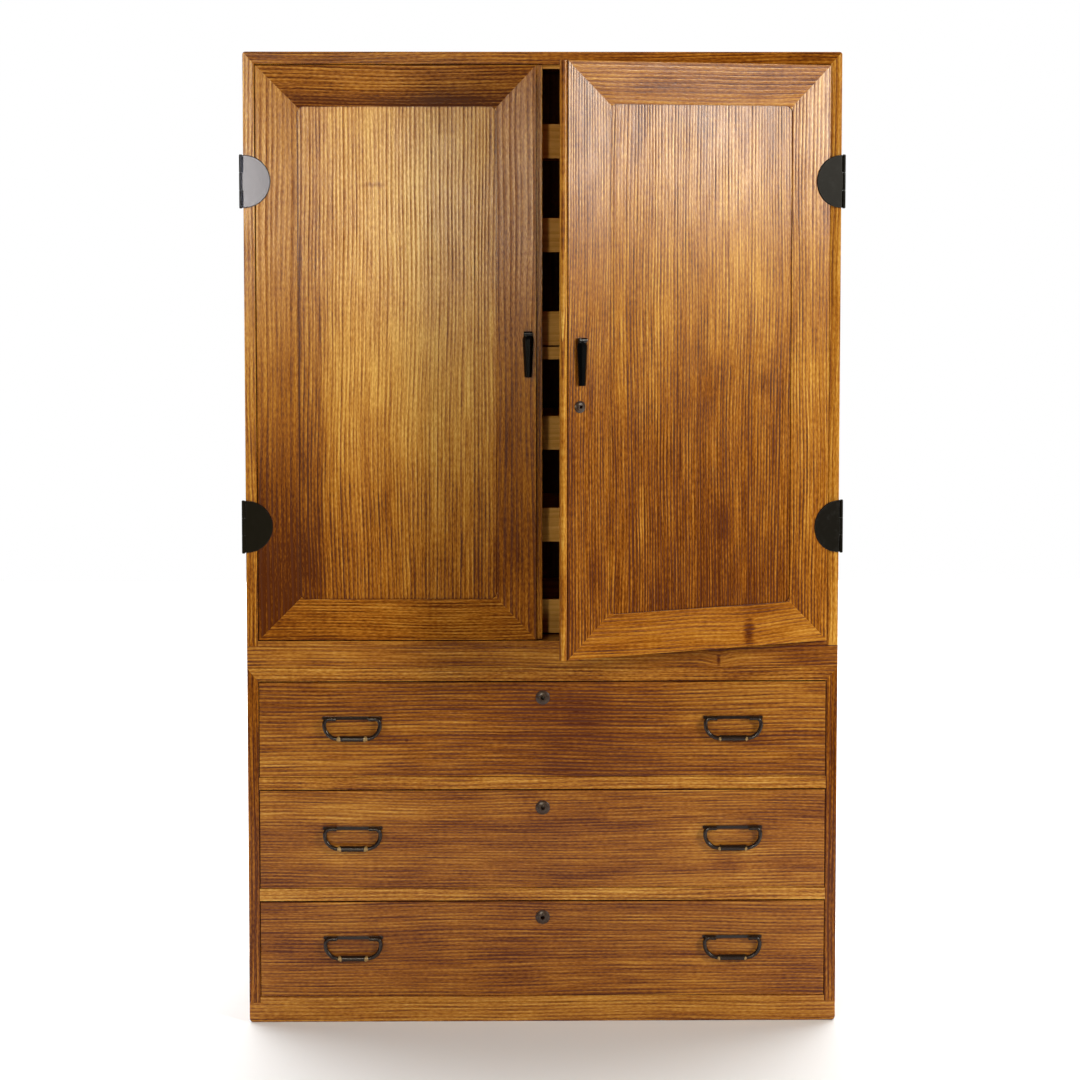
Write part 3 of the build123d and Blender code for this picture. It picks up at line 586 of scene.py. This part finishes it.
# A scratch on the first drawer, and the mark a handle left on the second
drawer_marks = {1: [(-0.2446, 0.5157, 0.005, 0.004, 0.6)], 2: [(0.3324, 0.291, 0.050, 0.033, 0.20)], 3: []}
key_hole_rise = 57.0 * MM
first_front_seed = 13.0
for number in DRAWERS:
    level, ring, contrast, middle_stain, right_stain = drawer_looks[number]
    low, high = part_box(f"drawer_{number}_front")
    middle_z = (low[2] + high[2]) / 2
    put(
        wood(
            f"drawer_front_{number}", "X", first_front_seed + number - 1, palette=AMBER_PAINTED_SHEEN,
            level=level, ring=ring, contrast=contrast, mottle=0.7,
            stains=[
                (-0.02, middle_z, 0.36, 0.30, middle_stain),
                (0.48, middle_z, 0.20, 0.30, right_stain),
                # Painted shade at the bottom of the key hole
                key_hole_shade(0.0, middle_z + key_hole_rise),
                *drawer_marks[number],
            ],
        ),
        f"drawer_{number}_front",
    )

# Drawer boxes, trays and what carries the trays
unlacquered = {"ring": 11.0, "contrast": 0.5, "mottle": 0.4, "gloss": 0.55}
put(
    wood("tray_wood", "X", 20.0, palette=PALE, level=0.28, shine=0.03, **unlacquered),
    *(f"tray_{number}" for number in range(1, 7)),
    "upper_mid_shelf",
    "upper_battens",
)
put(
    wood("box_wood", "X", 22.0, palette=BARE, level=0.35, shine=0.05, **unlacquered),
    *(f"drawer_{number}_box" for number in DRAWERS),
)

# Hinges: the left ones are polished, so that the upper one mirrors a light as in the photograph
put(
    metal("hinge_iron", (0.005, 0.004, 0.002), (0.46, 0.46, 0.46), 1.0, roughness=0.40, specular=0.07),
    "right_door_hinges",
    "right_case_hinges",
)
put(
    metal(
        "polished_iron", (0.012, 0.010, 0.006), (0.10, 0.09, 0.08), 1.0, roughness=0.09, specular=0.17,
        tint=(0.63, 0.69, 1.0), dull_edge=0.6,
    ),
    "left_door_hinges",
    "left_case_hinges",
)

# Door pulls, locks and bolts
pull_iron = metal(
    "pull_iron", (0.002, 0.002, 0.002), (0.03, 0.028, 0.025), 4.0, roughness=0.16, specular=0.30
)
put(pull_iron, "left_pull", "right_pull", "left_pull_mount", "right_pull_mount")
put(pull_iron, "left_door_strike", "right_door_lock_bolt")
put(pull_iron, *(f"drawer_{number}_lock_bolt" for number in DRAWERS))
bronze = metal("bronze", (0.040, 0.021, 0.012), (0.20, 0.12, 0.06), 3.0, roughness=0.30, specular=0.40)
put(bronze, "right_door_lock", *(f"drawer_{number}_lock" for number in DRAWERS))

# Bails, with a brass collar at each end of the grip, larger on the left bails
collar_offset = 24.0 * MM
collar_rise = 4.0 * MM
collar_half = {"left": 4.0 * MM, "right": 2.4 * MM}
for number in DRAWERS:
    collars = []
    for side, half in collar_half.items():
        low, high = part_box(f"drawer_{number}_{side}_bail")
        middle_x = (low[0] + high[0]) / 2
        for end in (-1, 1):
            collars.append((middle_x + end * collar_offset, low[2] + collar_rise, half, 2.0 * half))
    put(
        metal(
            f"bail_iron_{number}", (0.016, 0.009, 0.006), (0.34, 0.21, 0.075), 2.0,
            roughness=0.24, specular=0.35, patches=collars,
        ),
        f"drawer_{number}_handle_mounts",
        f"drawer_{number}_left_bail",
        f"drawer_{number}_right_bail",
    )

# Floor: from in front of the open drawers to well behind the chest
floor_half_width = 4.5
floor_front = -1.8
floor_back = 5.0
floor_greys = (0.93, 0.96)
floor_depth = 0.1 * MM
floor_strength = 0.1
floor_mesh = bpy.data.meshes.new("floor")
floor_corners = [
    (-floor_half_width, floor_front, 0.0),
    (floor_half_width, floor_front, 0.0),
    (floor_half_width, floor_back, 0.0),
    (-floor_half_width, floor_back, 0.0),
]
floor_mesh.from_pydata(floor_corners, [], [(0, 1, 2, 3)])
floor = bpy.data.objects.new("floor", floor_mesh)
scene.collection.objects.link(floor)
floor_material, n = new_material("pale_floor")
unevenness = n.noise(n.add("ShaderNodeTexCoord").outputs["Object"])
floor_stops = [(place, (grey,) * 3) for place, grey in zip((0.0, 1.0), floor_greys)]
floor_colour = n.ramp(n.math("ADD", unevenness, 0.5), floor_stops)
n.principled(unevenness, floor_depth, floor_strength, Base_Color=floor_colour, Roughness=0.9)
floor_mesh.materials.append(floor_material)

# Surroundings: a bright backdrop behind the chest and a dim room in front, white where the camera sees them
room_glow = 0.012
backdrop_glow = 0.9
room_ends = -0.1
backdrop_whole = 0.5
world = bpy.data.worlds.new("studio")
scene.world = world
world.use_nodes = True
n = Nodes(world.node_tree)
direction = n.add("ShaderNodeTexCoord").outputs["Generated"]
ahead = n.add("ShaderNodeSeparateXYZ", {0: direction}).outputs["Y"]
glow = n.spread(ahead, room_ends, backdrop_whole, room_glow, backdrop_glow)
seen = n.add("ShaderNodeLightPath").outputs["Is Camera Ray"]
sky = n.add("ShaderNodeBackground", {"Color": (*WHITE, 1.0), "Strength": n.math("MAXIMUM", glow, seen)})
n.add("ShaderNodeOutputWorld", {"Surface": sky.outputs[0]})


def soft_box(name, place, target, width, height, power, lights=True, shines=True, tint=WHITE):
    """Area light aimed at a point; it can be left out of the even lighting or out of the sheen."""
    light = bpy.data.lights.new(name, "AREA")
    light.shape = "RECTANGLE"
    light.size = width
    light.size_y = height
    light.energy = power
    light.color = tint
    holder = bpy.data.objects.new(name, light)
    scene.collection.objects.link(holder)
    holder.visible_diffuse = lights
    holder.visible_glossy = shines
    holder.location = place
    holder.rotation_mode = "QUATERNION"
    holder.rotation_quaternion = (Vector(target) - Vector(place)).to_track_quat("-Z", "Y")


doors_middle = (-0.1, -0.23, 1.2)

# Even light from the left of the camera
soft_box(
    "key_box", place=(-1.20, -5.4, 1.80), target=doors_middle, width=0.45, height=0.90, power=72.0,
    shines=False,
)
# Warm sheen on the left door and its upper hinge
soft_box(
    "sheen_box", place=(-0.45, -5.4, 1.45), target=(-0.1, -0.23, 1.3), width=0.50, height=0.60, power=54.0,
    lights=False, tint=(1.0, 0.86, 0.60),
)
# Sheen down the left edge of the case
soft_box(
    "edge_strip", place=(-1.15, -5.4, 1.60), target=(-0.5, -0.23, 1.5), width=0.20, height=0.80, power=26.0,
    lights=False, tint=(1.0, 0.99, 0.96),
)
# Light and sheen on the right door, whose face is turned this way
soft_box(
    "right_box", place=(2.95, -2.65, 1.88), target=(0.2, -0.3, 1.3), width=0.80, height=0.90, power=95.0,
    tint=(1.0, 0.95, 0.84),
)
# Even light from the far left
soft_box(
    "left_box", place=(-2.9, -2.9, 2.8), target=doors_middle, width=1.3, height=1.3, power=46.0,
    shines=False,
)
# Lit ceiling behind the chest
soft_box(
    "ceiling_box", place=(0.0, 3.6, 4.0), target=(0.0, 3.6, 0.0), width=8.0, height=6.0, power=700.0
)

# Camera, as fitted to the corners of the chest in the photograph
camera_place = (-0.0648, -4.9275, 1.5263)
camera_yaw = math.radians(0.73)
camera_pitch = math.radians(4.02)
picture_side = 1080.0
focal_pixels = 2647.3
principal_row = 362.5
forward = Vector(
    (
        math.sin(camera_yaw) * math.cos(camera_pitch),
        math.cos(camera_yaw) * math.cos(camera_pitch),
        -math.sin(camera_pitch),
    )
)
lens = bpy.data.cameras.new("camera")
lens.sensor_width = 36.0
lens.lens = lens.sensor_width * focal_pixels / picture_side
lens.shift_y = (principal_row - picture_side / 2) / picture_side
camera = bpy.data.objects.new("camera", lens)
scene.collection.objects.link(camera)
camera.location = camera_place
camera.rotation_mode = "QUATERNION"
camera.rotation_quaternion = forward.to_track_quat("-Z", "Y")
scene.camera = camera
